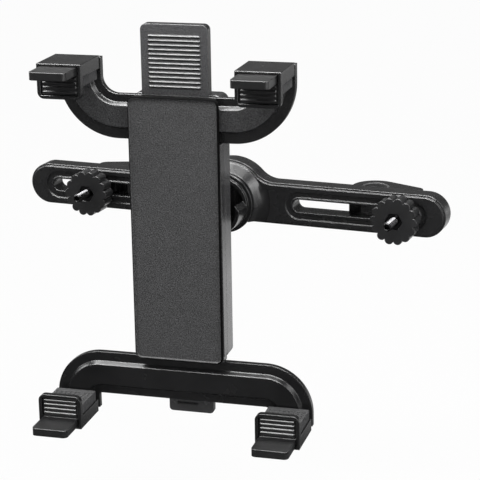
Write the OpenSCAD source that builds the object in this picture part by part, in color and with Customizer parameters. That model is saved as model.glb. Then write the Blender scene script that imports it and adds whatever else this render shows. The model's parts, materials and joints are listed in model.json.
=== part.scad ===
// Headrest tablet mount: a slotted bar on two post clamps, a swivel and tilt joint,
// and a spine whose two sliding yokes grip a tablet with four claws.
// X is to the right, Y to the back, Z up. The origin is the centre of the pad's face.

/* [Spine] */
// Width of the spine and of the pad
spine_w = 48; // [44:1:60]
// Height of the spine and of the pad
spine_h = 140.4; // [130:0.4:170]
// Depth of the whole spine, pad included
spine_d = 20; // [18:0.5:26]
// Thickness of the pad
pad_t = 1.8; // [1:0.2:3]
// Thickness of the front plate behind the pad
cover_t = 1.6; // [1.2:0.2:2.4]
// Wall of the cover and of the rear housing
wall = 2; // [1.6:0.2:3]
// Corner radius of the pad
pad_r = 3.6; // [2:0.2:6]

/* [Yokes] */
// Width of a yoke's band
band_w = 23.2; // [20:0.2:28]
// Thickness of a yoke's flange
flange_t = 3.3; // [2.5:0.1:4]
// How far the raised middle stands in front of the flange
raise = 2.3; // [1:0.1:3]
// Width of the flange on the inner edge of the band
lip_in = 4.2; // [3:0.2:6]
// Width of the flange on the outer edge of the band
lip_out = 5; // [3:0.2:6]
// Width of the bevel beside the raised middle
bevel = 1.5; // [0.5:0.1:2.5]
// Half width of the upper yoke, over its horns
upper_half = 62.4; // [58:0.2:75]
// Outer corner radius of the upper yoke
upper_r = 32; // [27:0.5:36]
// Half width of the lower yoke, over its horns
lower_half = 70.2; // [62:0.2:80]
// Outer corner radius of the lower yoke
lower_r = 25; // [25:0.5:32]
// Width of a slide's stem inside the spine
stem_w = 14; // [10:0.5:16]
// Travel of each yoke
slide_travel = 40; // [20:1:44]

/* [Tongue] */
// Half width of the ribbed tongue
tongue_half = 17.6; // [12:0.2:20]
// Height of the tongue above the spine
tongue_h = 36; // [24:0.5:44]
// Thickness of the tongue
tongue_t = 5.2; // [3.4:0.2:7]
// Number of grip ribs on the tongue
tongue_ribs = 12; // [4:1:12]
// Distance between two grip ribs
rib_pitch = 2.33; // [1.8:0.01:2.4]

/* [Claws] */
// Depth of a claw in front of the pad's face
claw_reach = 22.9; // [18:0.2:32]
// Thickness of the claw's front plate
plate_t = 3.2; // [2.6:0.2:4]
// Height of the claw's box
box_h = 6.5; // [6:0.1:8]
// Thickness of the rubber grip
grip_t = 5.4; // [3:0.2:7]
// How far the front plate hooks past the grip
hook_h = 5.8; // [4:0.2:8]
// How far the pull-out tab stands in front of the plate
tab_reach = 16.4; // [8:0.2:20]
// Thickness of the tab
tab_t = 4; // [3:0.1:4.4]
// Width of the tab
tab_w = 19.2; // [12:0.2:19.6]
// Travel of the pull-out tab
tab_travel = 7; // [4:0.5:8]

/* [Bar] */
// Half length of the bar
bar_half = 121.6; // [110:0.2:140]
// Half height of the bar
bar_r = 11.4; // [10:0.2:14]
// Depth of the bar
bar_d = 11; // [9:0.5:14]
// Half height of a slot
slot_r = 3.5; // [3:0.1:4]
// Inner end of a slot, from the middle of the bar
slot_in = 37; // [34:0.5:45]
// Distance from the end of the bar to the outer end of a slot
slot_margin = 14.4; // [14:0.2:24]
// Radius of the hub arch over the middle of the bar
hub_r = 22.4; // [20:0.2:26]
// Radius of the boss's front face
boss_r = 16.8; // [16.2:0.2:19]
// Height of the boss
boss_h = 5; // [3:0.2:8]
// Distance from the pad's face to the bar's face at the hub
bar_y = 68; // [64:0.5:80]
// Sideways place of the hub
hub_x = 9.2; // [5:0.2:12]
// Angle between the bar and the spine
bar_yaw = 6.2; // [0:0.2:10]

/* [Joint] */
// Outer radius of the swivel cup
cup_r = 14.3; // [13.5:0.1:16]
// Length of the swivel cup
cup_l = 13.5; // [12:0.5:16]
// Radius of the hinge pin
pin_r = 2; // [1.5:0.1:2.5]
// Radius of the neck's eye
eye_r = 5.6; // [4.5:0.1:6]
// Radius of the neck's foot on the spine
foot_r = 17; // [15:0.5:20]

/* [Clamps] */
// Distance from the outer end of the right slot to its stud
right_inset = 9.6; // [9.6:0.2:30]
// Distance from the outer end of the left slot to its stud
left_inset = 27.2; // [9.6:0.2:30]
// Radius of a stud
stud_r = 2.4; // [2:0.1:2.6]
// Radius of the headrest post that the liner takes
post_r = 6.2; // [5:0.1:6.6]
// Thickness of the rubber liner
liner_t = 1.2; // [0.8:0.1:1.6]
// Height of a hook along the post
hook_z = 19; // [16:0.5:22]
// Distance from the stud to the post, along the bar
post_off = 19.6; // [18:0.2:22]
// Radius of a knob over its lobes
knob_r = 12.6; // [11:0.1:15]
// Thickness of a knob
knob_t = 8.6; // [6:0.2:10]
// Number of lobes round a knob
knob_lobes = 14; // [8:1:18]
// How far a stud stands in front of the bar
stud_tip = 25; // [20:0.5:28]

/* [Hidden] */
$fn = 64;

// Clearance between pieces that slide on each other
gap = 0.3;
// Radial clearance of a shaft in its bore
fit = 0.05;
// Small overlap that joins the solids of one piece
eps = 0.02;

half_w = spine_w / 2;
half_h = spine_h / 2;

// Layers of the spine, from the pad's face to the back
cover_y = pad_t;
slot_y0 = pad_t + cover_t;
yoke_back = slot_y0 + gap + raise + flange_t;
house_y = yoke_back + gap;
flange_y = yoke_back - flange_t;
raised_y = flange_y - raise;

// Upper yoke: floor of the U, centre of its corner arcs, tops of the horns
upper_floor = half_h - gap;
upper_in_r = upper_r - band_w;
upper_cx = upper_half - upper_r;
upper_cz = upper_floor + upper_in_r;
upper_bottom = upper_cz - upper_r;
claw_top = upper_cz + 11;
// Lower yoke, mirrored: roof, centre of its corner arcs, ends of the horns
lower_roof = half_h + gap;
lower_in_r = lower_r - band_w;
lower_cx = lower_half - lower_r;
lower_cz = lower_roof + lower_r;
claw_bottom = lower_cz + 8;

// Stems and their racks
stem_x = 2;
stem_gap = 0.6;
stem_t = yoke_back - raised_y - 1;
upper_stem_end = -30;
lower_stem_end = 30;
tooth_pitch = 4;
tooth_d = 1.2;

// Claw pieces
claw_y = -claw_reach;
claw_h = box_h + grip_t + hook_h;
box_wall = (box_h - tab_t) / 2;
tab_back = -3;
grip_back = raised_y - 1.5;
grip_inset = 0.8;

// Slots, studs and ribs along the bar
slot_out = bar_half - slot_margin;
stud_right = slot_out - right_inset;
stud_left = left_inset - slot_out;
rib_step = (slot_out - slot_in + 1.8) / 4;
bar_ribs = [for (i = [0 : 4]) slot_in - bar_d + i * rib_step];

// Bar joint, in the bar's own frame
hub_bore = 8;
disc_r = boss_r - 0.4;
disc_t = 2.2;
disc_y = -(boss_h + gap);
cup_y = disc_y - disc_t;
cup_wall = 2.2;
cup_flat = 10.6;
cup_flat_angle = 42;
hinge_y = cup_y - 5.6;
eye_w = 15;
pin_l = 2 * cup_r - 1.2;
screw_r = 2;
hub_washer_t = 1.6;
hub_washer_r = 9.6;

// Hinge centre in the spine's frame
hinge_at = [hub_x + hinge_y * sin(bar_yaw), bar_y + hinge_y * cos(bar_yaw), 0];

// Clamp pieces, in the bar's frame, measured from the stud towards the middle
hook_y = bar_d + gap;
channel_r = post_r + liner_t;
channel_y = hook_y + post_r + 0.6;
head_y = hook_y + 6;
hook_out = 6.5;
hook_in = post_off + channel_r + 5.4;
washer_t = 4.6;
washer_r = 9.4;
knob_y = -(gap + washer_t + gap);
nut_r = 4.6;
nut_t = 4;

// Release slider on the back of the housing
slider_half = 12.4;
slider_t = 4.4;
slider_top = -2 * foot_r;
slider_bottom = -lower_cz - 10.9;
slider_y = spine_d + gap;
rail_w = 2.4;
spring_r = 2.2;
spring_l = 12;
pawl_x = stem_x + 2;
pawl_w = 8;
pawl_h = 3;
pawl_z = slider_top - 8;
pawl_travel = 4;

// Screws
thread_r = 1.5;
screw_hole_r = 1.7;
screw_head_r = 3;
post_or = 2.9;
screw_x = stem_x + stem_w + gap + post_or;
screw_top = upper_bottom - 12.7;
screw_low = post_or + 7.3 - half_h;
screw_places = [[-screw_x, screw_top], [screw_x, screw_top], [-screw_x, screw_low], [screw_x, screw_low]];
neck_angles = [90, 210, 330];
neck_pcd_r = 13;

// Small forms
horn_drop = 1.2;
blade_y = flange_y + 0.1;
neck_r = 6.8;
neck_web = 4.4;
// how far before the hinge the neck's cone ends
neck_waist = 13;
// place of the tray's ribs: from its ends, and below the neck's foot
tray_rib_in = 20;
tray_rib_gap = 5;
// fillet between the bar and its hub arch
arch_fillet = 14;
edge_step = 1.2;
lobe_r = 2.4;
key_l = 9;
key_d = 5;
head_r = 4.5;
head_h = 3;
foot_t = 4;
neck_head_t = 1.8;
neck_seat = 2.2;
hook_wall = 5.4;
hook_end_r = 4.5;
spring_y = slider_y + 2.2;
spring_z = slider_top - 6;

c_plastic = [0.13, 0.13, 0.135];
c_cover = [0.24, 0.24, 0.25];
c_pad = [0.29, 0.29, 0.3];
c_rubber = [0.2, 0.2, 0.2];
c_metal = [0.45, 0.45, 0.47];

// Rectangle with four round corners, centred
module rounded(w, h, r) {
  square([w - 2 * r, h], center = true);
  square([w, h - 2 * r], center = true);
  for (sx = [-1, 1], sy = [-1, 1]) translate([sx * (w / 2 - r), sy * (h / 2 - r)]) circle(r);
}

// Stadium along X between two arc centres
module stadium(x0, x1, r) {
  translate([x0, 0]) circle(r);
  translate([x1, 0]) circle(r);
  translate([x0, -r]) square([x1 - x0, 2 * r]);
}

// Lays a flat shape drawn in X and Z into the XZ plane, from y0 to y1
module plate(y0, y1) translate([0, y1, 0]) rotate([90, 0, 0]) linear_extrude(y1 - y0) children();

// Box from its low to its high corner
module block(lo, hi) translate(lo) cube(hi - lo);

// Moves a piece drawn in the bar's frame to its place behind the spine
module at_bar() translate([hub_x, bar_y, 0]) rotate([0, 0, -bar_yaw]) children();

// Round bar along Y, from y0 to y1
module rod(r, y0, y1) translate([0, y1, 0]) rotate([90, 0, 0]) cylinder(r = r, h = y1 - y0);

// Cone along Y, with radius ra at y0 and rb at y1
module taper(ra, rb, y0, y1)
  translate([0, y0, 0]) rotate([-90, 0, 0]) cylinder(r1 = ra, r2 = rb, h = y1 - y0);

// Section of a yoke's band: radius from the inner edge against depth
module band_section(r0) translate([r0, 0]) polygon([
  [0, yoke_back], [0, flange_y], [lip_in, flange_y], [lip_in + bevel, raised_y],
  [band_w - lip_out - bevel, raised_y], [band_w - lip_out, flange_y], [band_w, flange_y], [band_w, yoke_back]
]);

// U-shaped band swept along floor, two corner arcs and two arms
module yoke_band(cx, cz, r0, arm) {
  translate([-cx, 0, cz]) rotate([0, 90, 0]) linear_extrude(2 * cx) band_section(r0);
  for (s = [0, 1]) mirror([s, 0, 0]) {
    translate([cx, 0, cz]) rotate([-90, 0, 0]) rotate_extrude(angle = 90) band_section(r0);
    translate([cx, 0, cz]) linear_extrude(arm) band_section(r0);
  }
}

// Claw frame on one horn, seen with its grip below and its back on the yoke; top is at z = 0
module claw_frame(x_mid) translate([x_mid, 0, 0]) difference() {
  union() {
    // front plate with round lower corners
    translate([0, 0, -claw_h / 2]) plate(claw_y, claw_y + plate_t) intersection() {
      rounded(band_w, claw_h, 3.4);
      translate([0, -claw_h / 2 + claw_h]) square([band_w, 2 * claw_h], center = true);
    }
    block([-band_w / 2, claw_y, -box_h], [band_w / 2, raised_y + eps, 0]);
    block([-band_w / 2, claw_y, -3.4], [-band_w / 2 + 4, claw_y + plate_t, 0]);
    block([band_w / 2 - 4, claw_y, -3.4], [band_w / 2, claw_y + plate_t, 0]);
  }
  // channel of the pull-out tab and the window of its ribbed face
  block([-tab_w / 2 - gap, claw_y - 1, -box_h + box_wall - gap],
    [tab_w / 2 + gap, tab_back + 1, -box_wall + gap]);
  block([-tab_w / 2 - gap, claw_y - 1, -claw_h + 1.8], [tab_w / 2 + gap, claw_y + 1.7, -box_h + box_wall]);
}

// Rubber grip under the box of a claw
module claw_grip(x_mid) translate([x_mid, 0, 0]) {
  y0 = claw_y + plate_t;
  w = band_w / 2 - grip_inset;
  difference() {
    block([-w, y0, -box_h - grip_t], [w, grip_back, -box_h]);
    for (i = [0:6]) translate([0, y0 + 2.4 + i * 2.6, -box_h - grip_t])
      rotate([0, 90, 0]) cylinder(r = 0.5, h = 2 * w + 2, center = true, $fn = 16);
  }
}

// Pull-out tab with its ribbed face, an L seen from the side
module claw_tab(x_mid) translate([x_mid, 0, 0]) {
  z1 = -box_wall;
  z0 = z1 - tab_t;
  // tab and the tongue that runs back into the channel
  translate([0, 0, z0]) linear_extrude(tab_t) {
    translate([0, (claw_y - tab_reach + tab_back) / 2])
      rounded(tab_w, tab_back - claw_y + tab_reach, 2.4);
  }
  // ribbed face in the window
  face_lo = -claw_h + 1.8 + gap;
  block([-tab_w / 2, claw_y + 0.7, face_lo], [tab_w / 2, claw_y + 1.7 - gap, z0 + eps]);
  for (i = [0:3]) translate([0, claw_y + 0.8, face_lo + 1.3 + i * 2.3])
    rotate([0, 90, 0]) cylinder(r = 0.75, h = tab_w - 1.6, center = true, $fn = 24);
}

// Places a claw piece at one of the four horns
module at_claw(upper, side) {
  x_mid = (upper ? upper_half : lower_half) - band_w / 2;
  if (upper) translate([0, 0, claw_top]) mirror([side < 0 ? 1 : 0, 0, 0]) translate([x_mid, 0, 0]) children();
  else mirror([0, 0, 1]) translate([0, 0, claw_bottom]) mirror([side < 0 ? 1 : 0, 0, 0])
    translate([x_mid, 0, 0]) children();
}

// Stem of a slide with its ratchet notches on the back
module stem(x0, z0, z1) difference() {
  block([x0, raised_y + 0.5, z0], [x0 + stem_w, raised_y + 0.5 + stem_t, z1]);
  for (z = [z0 + 6 : tooth_pitch : z1 - 12]) translate([x0 - 1, raised_y + 0.5 + stem_t, z])
    rotate([0, 90, 0]) linear_extrude(stem_w + 2) polygon([[-2, 1], [-2, 0], [0, -tooth_d], [0, 1]]);
}

module upper_yoke() color(c_plastic) {
  yoke_band(upper_cx, upper_cz, upper_in_r, claw_top - upper_cz - horn_drop);
  for (s = [-1, 1]) at_claw(true, s) claw_frame(0);
  stem(-stem_x - stem_w, upper_stem_end, upper_bottom + 6);
  // tongue: a thin root in the slide's layer, a thicker ribbed blade above the spine
  plate(blade_y, yoke_back) translate([0, half_h]) square([2 * tongue_half, 8], center = true);
  difference() {
    translate([0, 0, half_h + (tongue_h - 4) / 2]) plate(blade_y, blade_y + tongue_t)
      rounded(2 * tongue_half, tongue_h + 4, 3);
    block([-half_w, blade_y - 1, half_h - 6], [half_w, blade_y + tongue_t + 1, half_h + gap]);
  }
  for (i = [0 : tongue_ribs - 1]) translate([0, blade_y, half_h + 4.1 + i * rib_pitch])
    rotate([0, 90, 0]) cylinder(r = 0.7, h = 2 * (tongue_half - 4.1), center = true, $fn = 24);
}

module lower_yoke() color(c_plastic) {
  mirror([0, 0, 1]) yoke_band(lower_cx, lower_cz, lower_in_r, claw_bottom - lower_cz - horn_drop);
  for (s = [-1, 1]) at_claw(false, s) claw_frame(0);
  stem(stem_x, -lower_roof - eps, lower_stem_end);
}

module upper_grip_left() color(c_rubber) at_claw(true, -1) claw_grip(0);
module upper_grip_right() color(c_rubber) at_claw(true, 1) claw_grip(0);
module lower_grip_left() color(c_rubber) at_claw(false, -1) claw_grip(0);
module lower_grip_right() color(c_rubber) at_claw(false, 1) claw_grip(0);
module upper_tab_left() color(c_plastic) at_claw(true, -1) claw_tab(0);
module upper_tab_right() color(c_plastic) at_claw(true, 1) claw_tab(0);
module lower_tab_left() color(c_plastic) at_claw(false, -1) claw_tab(0);
module lower_tab_right() color(c_plastic) at_claw(false, 1) claw_tab(0);

// Soft pad on the face of the spine
module pad() color(c_pad) plate(0, pad_t) rounded(spine_w, spine_h, pad_r);

// Front cover: a plate with side walls below the upper yoke, and screw posts
module front_cover() color(c_cover) {
  plate(cover_y, slot_y0) rounded(spine_w - 1, spine_h - 0.4, pad_r);
  for (s = [-1, 1]) mirror([s < 0 ? 1 : 0, 0, 0])
    block([half_w - wall, slot_y0 - eps, -half_h + pad_r], [half_w, house_y, upper_bottom - gap]);
  // lower end wall, open at the stem of the lower slide
  for (x = [[-half_w + 0.4, stem_x - stem_gap], [stem_x + stem_w + stem_gap, half_w - 0.4]])
    block([x[0], slot_y0 - eps, -half_h + 0.4], [x[1], house_y, -half_h + wall + 2]);
  // screw posts beside the stems
  difference() {
    for (p = screw_places) translate([p[0], 0, p[1]]) rod(post_or, slot_y0 - eps, house_y);
    for (p = screw_places) translate([p[0], 0, p[1]]) rod(thread_r, slot_y0 + 1, house_y + 1);
  }
}

// Rear housing: an open tray over the slides, with guide rails for the release slider
module rear_housing() color(c_plastic) difference() {
  union() {
    difference() {
      plate(house_y, spine_d) rounded(spine_w, spine_h, 4);
      plate(house_y - 1, spine_d - wall) rounded(spine_w - 2 * wall, spine_h - 2 * wall, 2);
    }
    for (p = screw_places) translate([p[0], 0, p[1]]) rod(post_or, house_y, spine_d - wall + eps);
    // ribs across the tray
    for (z = [-half_h + tray_rib_in, -foot_r - tray_rib_gap, half_h - tray_rib_in])
      block([-half_w + 1, house_y + 3, z - 0.8], [half_w - 1, spine_d - 1, z + 0.8]);
    // round pad under the neck's foot
    rod(foot_r + 1.5, spine_d - wall, spine_d);
    // rails that hold the release slider
    for (s = [-1, 1]) mirror([s < 0 ? 1 : 0, 0, 0]) {
      block([slider_half + gap, spine_d - 1, -half_h + 4],
        [slider_half + gap + rail_w, slider_y + slider_t + gap + 1.6, slider_top + 2]);
      block([slider_half - 2, slider_y + slider_t + gap, -half_h + 4],
        [slider_half + gap + rail_w, slider_y + slider_t + gap + 1.6, slider_top + 2]);
    }
    // stop for the return spring
    block([-spring_r - 2, spine_d - 1, spring_z + spring_l],
      [spring_r + 2, spring_y + spring_r, spring_z + spring_l + 3]);
  }
  for (p = screw_places) translate([p[0], 0, p[1]]) {
    rod(screw_hole_r, house_y - 1, spine_d + 1);
    taper(screw_hole_r, screw_head_r + 0.2, spine_d - 1.9, spine_d + eps);
  }
  // window for the pawl of the release slider
  block([pawl_x - gap, spine_d - wall - 1, pawl_z - 1],
    [pawl_x + pawl_w + gap, spine_d + 1, pawl_z + pawl_h + pawl_travel + 1]);
  // holes for the neck's screws
  for (a = neck_angles) translate([neck_pcd_r * cos(a), 0, neck_pcd_r * sin(a)])
    rod(thread_r, spine_d - wall - 1, spine_d + 1);
}

// Four countersunk screws through the rear housing
module housing_screws() color(c_metal) for (p = screw_places) translate([p[0], 0, p[1]]) difference() {
  union() {
    rod(thread_r, house_y - 4, spine_d - 1.8);
    taper(thread_r, screw_head_r, spine_d - 2, spine_d - 0.1);
  }
  for (a = [0, 90]) translate([0, spine_d, 0]) rotate([0, a, 0]) cube([2.6, 1.4, 0.6], center = true);
}

// Slider that lifts the pawl off the racks; its lower end is the thumb tab
module release_slider() color(c_cover) {
  difference() {
    translate([0, 0, slider_bottom + (slider_top - slider_bottom) / 2])
      plate(slider_y, slider_y + slider_t) rounded(2 * slider_half, slider_top - slider_bottom, 2);
    // moulded slot near the thumb end
    block(
      [-slider_half + 4.2, slider_y - 1, slider_bottom + 4.6],
      [slider_half - 8.6, slider_y + 1.2, slider_bottom + 5.5]
    );
    // pocket for the return spring
    block(
      [-spring_r - 0.5, spring_y - spring_r - 0.5, spring_z],
      [spring_r + 0.5, slider_y + slider_t + 1, slider_top + 1]
    );
  }
  block([pawl_x, house_y, pawl_z], [pawl_x + pawl_w, slider_y + eps, pawl_z + pawl_h]);
}

// Return spring of the release slider, a coil of wire
module release_spring() color(c_metal) translate([0, spring_y, spring_z]) {
  turns = 6;
  for (i = [0 : turns]) translate([0, 0, 0.35 + i * (spring_l - 0.7) / turns])
    rotate_extrude($fn = 32) translate([spring_r - 0.35, 0]) circle(0.35, $fn = 16);
  translate([spring_r - 0.55, 0, 0.35]) cylinder(r = 0.2, h = spring_l - 0.7, $fn = 16);
}

// Neck from the spine's foot to the hinge eye
module neck() color(c_plastic) difference() {
  union() {
    rod(foot_r, spine_d, spine_d + foot_t);
    hull() {
      rod(foot_r - 2.5, spine_d + foot_t - 1, spine_d + foot_t + 0.5, $fn = 40);
      translate([hinge_at[0], 0, 0])
        rod(neck_r, hinge_at[1] - neck_waist - 1, hinge_at[1] - neck_waist + 1, $fn = 40);
    }
    translate([hinge_at[0], 0, 0]) rod(neck_r, hinge_at[1] - neck_waist, hinge_at[1] - eye_r - 0.4);
    translate([hinge_at[0] - neck_web, hinge_at[1] - eye_r - 3, -eye_w / 2 + 1])
      cube([2 * neck_web, eye_r + 3, eye_w - 2]);
    translate([hinge_at[0], hinge_at[1], -eye_w / 2]) cylinder(r = eye_r, h = eye_w);
  }
  translate([hinge_at[0], hinge_at[1], -eye_w]) cylinder(r = pin_r + fit, h = 2 * eye_w);
  for (a = neck_angles) translate([neck_pcd_r * cos(a), 0, neck_pcd_r * sin(a)]) {
    rod(screw_hole_r, spine_d - 1, spine_d + 2 * foot_t);
    rod(screw_head_r + 0.4, spine_d + neck_seat, spine_d + foot_r);
  }
}

// Three screws that hold the neck's foot on the housing
module neck_screws() color(c_metal) for (a = neck_angles)
  translate([neck_pcd_r * cos(a), 0, neck_pcd_r * sin(a)]) difference() {
    union() {
      rod(thread_r, spine_d - wall, spine_d + neck_seat + eps);
      rod(screw_head_r, spine_d + neck_seat, spine_d + neck_seat + neck_head_t);
    }
    for (b = [0, 90])
      translate([0, spine_d + neck_seat + neck_head_t, 0]) rotate([0, b, 0])
        cube([2.8, 1.6, 0.6], center = true);
  }

// Flat outline of the bar: a stadium with an arch over the hub and a fillet on each side of it
module bar_outline(grow = 0) {
  r = bar_r + grow;
  arch = hub_r + grow;
  fillet = arch_fillet - grow;
  fx = sqrt(pow(arch + fillet, 2) - pow(r + fillet, 2));
  stadium(-bar_half + bar_r, bar_half - bar_r, r);
  intersection() {
    circle(arch);
    translate([-arch, -r]) square([2 * arch, arch + r]);
  }
  for (s = [0, 1]) mirror([s, 0]) difference() {
    polygon([[0, 0], [fx, 0], [fx, r + fillet]]);
    translate([fx, r + fillet]) circle(fillet + eps);
  }
}

module slots(grow, x_grow = 0) for (s = [0, 1]) mirror([s, 0])
  stadium(slot_in + slot_r - x_grow, slot_out - slot_r + x_grow, slot_r + grow);

// Bar with its slots, boss and hub, hollow and ribbed at the back
module headrest_bar() color(c_plastic) at_bar() difference() {
  union() {
    plate(edge_step, bar_d) bar_outline();
    plate(0, edge_step + eps) bar_outline(-edge_step);
    intersection() {
      taper(boss_r, hub_r - edge_step - 0.4, -boss_h, eps);
      block([-hub_r, -boss_h - 1, -bar_r + edge_step], [hub_r, 1, hub_r]);
    }
  }
  // sunk panel round each slot
  plate(-1, 0.8) difference() {
    slots(4.1, 0);
    slots(1.1, 0);
  }
  plate(-1, bar_d + 1) slots(0);
  // pockets at the back, between the outer wall, the slots' rims and the ribs
  difference() {
    plate(2.4, bar_d + 1) difference() {
      bar_outline(-2);
      slots(1.8);
      circle(hub_bore + 4);
    }
    for (s = [0, 1], x = bar_ribs) mirror([s, 0, 0])
      block([x - 0.8, 0, -bar_r], [x + 0.8, bar_d - 1, bar_r]);
    for (a = [30, 90, 150]) rotate([0, -a, 0]) block([0, 0, -0.8], [hub_r, bar_d - 1, 0.8]);
  }
  rod(hub_bore, -boss_h - 2, bar_d + 2);
}

// Swivel head: disc on the boss, shaft through the hub, and the cup that holds the hinge
module swivel_head() color(c_plastic) at_bar() difference() {
  union() {
    rod(disc_r, cup_y, disc_y);
    rod(hub_bore - fit, disc_y - eps, bar_d + gap);
    rod(cup_r, cup_y - cup_l, cup_y + eps);
  }
  // mouth of the cup
  rod(cup_r - cup_wall, cup_y - cup_l - 1, cup_y + 0.4);
  // flat on the cup's upper right side
  rotate([0, -cup_flat_angle, 0])
    block([cup_flat, cup_y - cup_l - 1, -2 * cup_r], [2 * cup_r, cup_y - 2, 2 * cup_r]);
  translate([0, hinge_y, -pin_l]) cylinder(r = pin_r + fit, h = 2 * pin_l);
  rod(thread_r, bar_d - 9, bar_d + 1);
}

// Hinge pin across the cup
module hinge_pin() color(c_metal) at_bar() translate([0, hinge_y, -pin_l / 2]) cylinder(r = pin_r, h = pin_l);

module hub_washer() color(c_metal) at_bar() difference() {
  rod(hub_washer_r, bar_d + gap, bar_d + gap + hub_washer_t);
  rod(screw_hole_r, bar_d, bar_d + 4);
}

module hub_screw() color(c_metal) at_bar() difference() {
  union() {
    rod(thread_r, bar_d - 8, bar_d + gap + hub_washer_t + eps);
    rod(screw_head_r + 1, bar_d + gap + hub_washer_t, bar_d + gap + hub_washer_t + 2.2);
  }
  for (a = [0, 90])
    translate([0, bar_d + gap + hub_washer_t + 2.2, 0]) rotate([0, a, 0]) cube([4, 2, 0.8], center = true);
}

// Places a clamp piece at its stud; a mirrored clamp points the other way
module at_stud(side) at_bar() translate([side > 0 ? stud_right : stud_left, 0, 0])
  mirror([side < 0 ? 1 : 0, 0, 0]) children();

// Plan of a hook: a round lobe over the post and a small one at the stud, joined by their tangent
module hook_plan() {
  lobe = channel_r + hook_wall;
  post = [-post_off, channel_y];
  end = [hook_out - hook_end_r, hook_y + hook_end_r + 3];
  lean = atan2(end[1] - post[1], end[0] - post[0]) + acos((lobe - hook_end_r) / norm(end - post));
  out = [cos(lean), sin(lean)];
  intersection() {
    union() {
      translate(post) circle(lobe);
      translate(end) circle(hook_end_r);
      polygon([post, post + lobe * out, end + hook_end_r * out, end]);
      translate([post[0] - lobe, hook_y]) square([lobe, channel_y - hook_y]);
      polygon([post, end, [hook_out, end[1]], [hook_out, hook_y], [post[0], hook_y]]);
    }
    translate([-2 * hook_in, hook_y]) square([4 * hook_in, 2 * hook_in]);
  }
}

// Hook behind the bar; the post stands in its channel, between the hook and the bar
module hook_shape() difference() {
  translate([0, 0, -hook_z / 2]) linear_extrude(hook_z) difference() {
    hook_plan();
    translate([-post_off, channel_y]) circle(channel_r);
    translate([-post_off - channel_r, hook_y - 1]) square([2 * channel_r, channel_y - hook_y + 1]);
  }
  // bore for the stud and hexagon pocket for its head
  rod(stud_r + fit, hook_y - 1, head_y + 1);
  translate([0, head_y, 0]) rotate([-90, 0, 0]) cylinder(r = head_r + 0.2, h = 2 * channel_r, $fn = 6);
}

// Key under the hook that runs in the slot
module hook_key() block([-key_l, bar_d - key_d, -slot_r + gap], [stud_r + 0.4, hook_y + eps, slot_r - gap]);

module hook_solid() difference() {
  union() {
    hook_shape();
    hook_key();
  }
  rod(stud_r + fit, 0, head_y + 1);
}

module liner_shape() translate([-post_off, channel_y, -hook_z / 2]) difference() {
  linear_extrude(hook_z) {
    difference() {
      union() {
        circle(channel_r);
        translate([-channel_r, hook_y + 0.6 - channel_y]) square([2 * channel_r, channel_y - hook_y - 0.6]);
      }
      circle(post_r);
      translate([-post_r, -channel_y]) square([2 * post_r, channel_y]);
    }
  }
}

// Stud: hexagon head in the hook, shank through the slot, chamfered tip
module stud_shape() {
  translate([0, head_y, 0]) rotate([-90, 0, 0]) cylinder(r = head_r, h = head_h, $fn = 6);
  rod(stud_r, -stud_tip + 0.6, head_y + eps);
  taper(stud_r - 0.6, stud_r, -stud_tip, -stud_tip + 0.62);
}

// Stepped washer between the bar and the knob
module washer_shape() difference() {
  union() {
    rod(washer_r, -gap - 1.8, -gap);
    taper(washer_r - 2.6, washer_r - 1, -gap - washer_t, -gap - 1.8 + eps);
  }
  rod(stud_r + fit, -gap - washer_t - 1, 1);
}

// Knob with scalloped lobes, a collar at the back and a hexagon pocket for its nut
module knob_shape() difference() {
  translate([0, knob_y, 0]) rotate([90, 0, 0]) difference() {
    union() {
      linear_extrude(knob_t) {
        circle(knob_r - lobe_r);
        for (i = [0 : knob_lobes - 1])
          rotate(i * 360 / knob_lobes) translate([knob_r - lobe_r, 0]) circle(lobe_r, $fn = 24);
      }
    }
    translate([0, 0, knob_t - nut_t]) cylinder(r = nut_r + 0.15, h = nut_t + 1, $fn = 6);
    translate([0, 0, -1]) cylinder(r = stud_r + fit, h = knob_t + 2);
  }
}

module nut_shape() translate([0, knob_y - knob_t + nut_t - 0.1, 0]) rotate([90, 0, 0]) difference() {
  cylinder(r = nut_r, h = nut_t - 0.6, $fn = 6);
  translate([0, 0, -1]) cylinder(r = stud_r + fit, h = nut_t + 2);
}

module hook_left() color(c_plastic) at_stud(-1) hook_solid();
module hook_right() color(c_plastic) at_stud(1) hook_solid();
module liner_left() color(c_rubber) at_stud(-1) liner_shape();
module liner_right() color(c_rubber) at_stud(1) liner_shape();
module stud_left_bolt() color(c_metal) at_stud(-1) stud_shape();
module stud_right_bolt() color(c_metal) at_stud(1) stud_shape();
module washer_left() color(c_plastic) at_stud(-1) washer_shape();
module washer_right() color(c_plastic) at_stud(1) washer_shape();
module knob_left() color(c_plastic) at_stud(-1) knob_shape();
module knob_right() color(c_plastic) at_stud(1) knob_shape();
module nut_left() color(c_metal) at_stud(-1) nut_shape();
module nut_right() color(c_metal) at_stud(1) nut_shape();

headrest_bar();
hub_washer();
hub_screw();
swivel_head();
hinge_pin();
neck();
neck_screws();
rear_housing();
housing_screws();
front_cover();
pad();
upper_yoke();
lower_yoke();
upper_grip_left();
upper_grip_right();
lower_grip_left();
lower_grip_right();
upper_tab_left();
upper_tab_right();
lower_tab_left();
lower_tab_right();
release_slider();
release_spring();
hook_left();
hook_right();
liner_left();
liner_right();
stud_left_bolt();
stud_right_bolt();
washer_left();
washer_right();
knob_left();
knob_right();
nut_left();
nut_right();
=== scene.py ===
"""Looks of a headrest tablet mount: spine, two claw yokes, slotted bar, swivel and post clamps."""
import json
import logging
import math
from dataclasses import dataclass
from enum import Enum
from typing import Callable, ClassVar, Iterable

import bmesh
import bpy
from mathutils import Matrix, Vector


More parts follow.
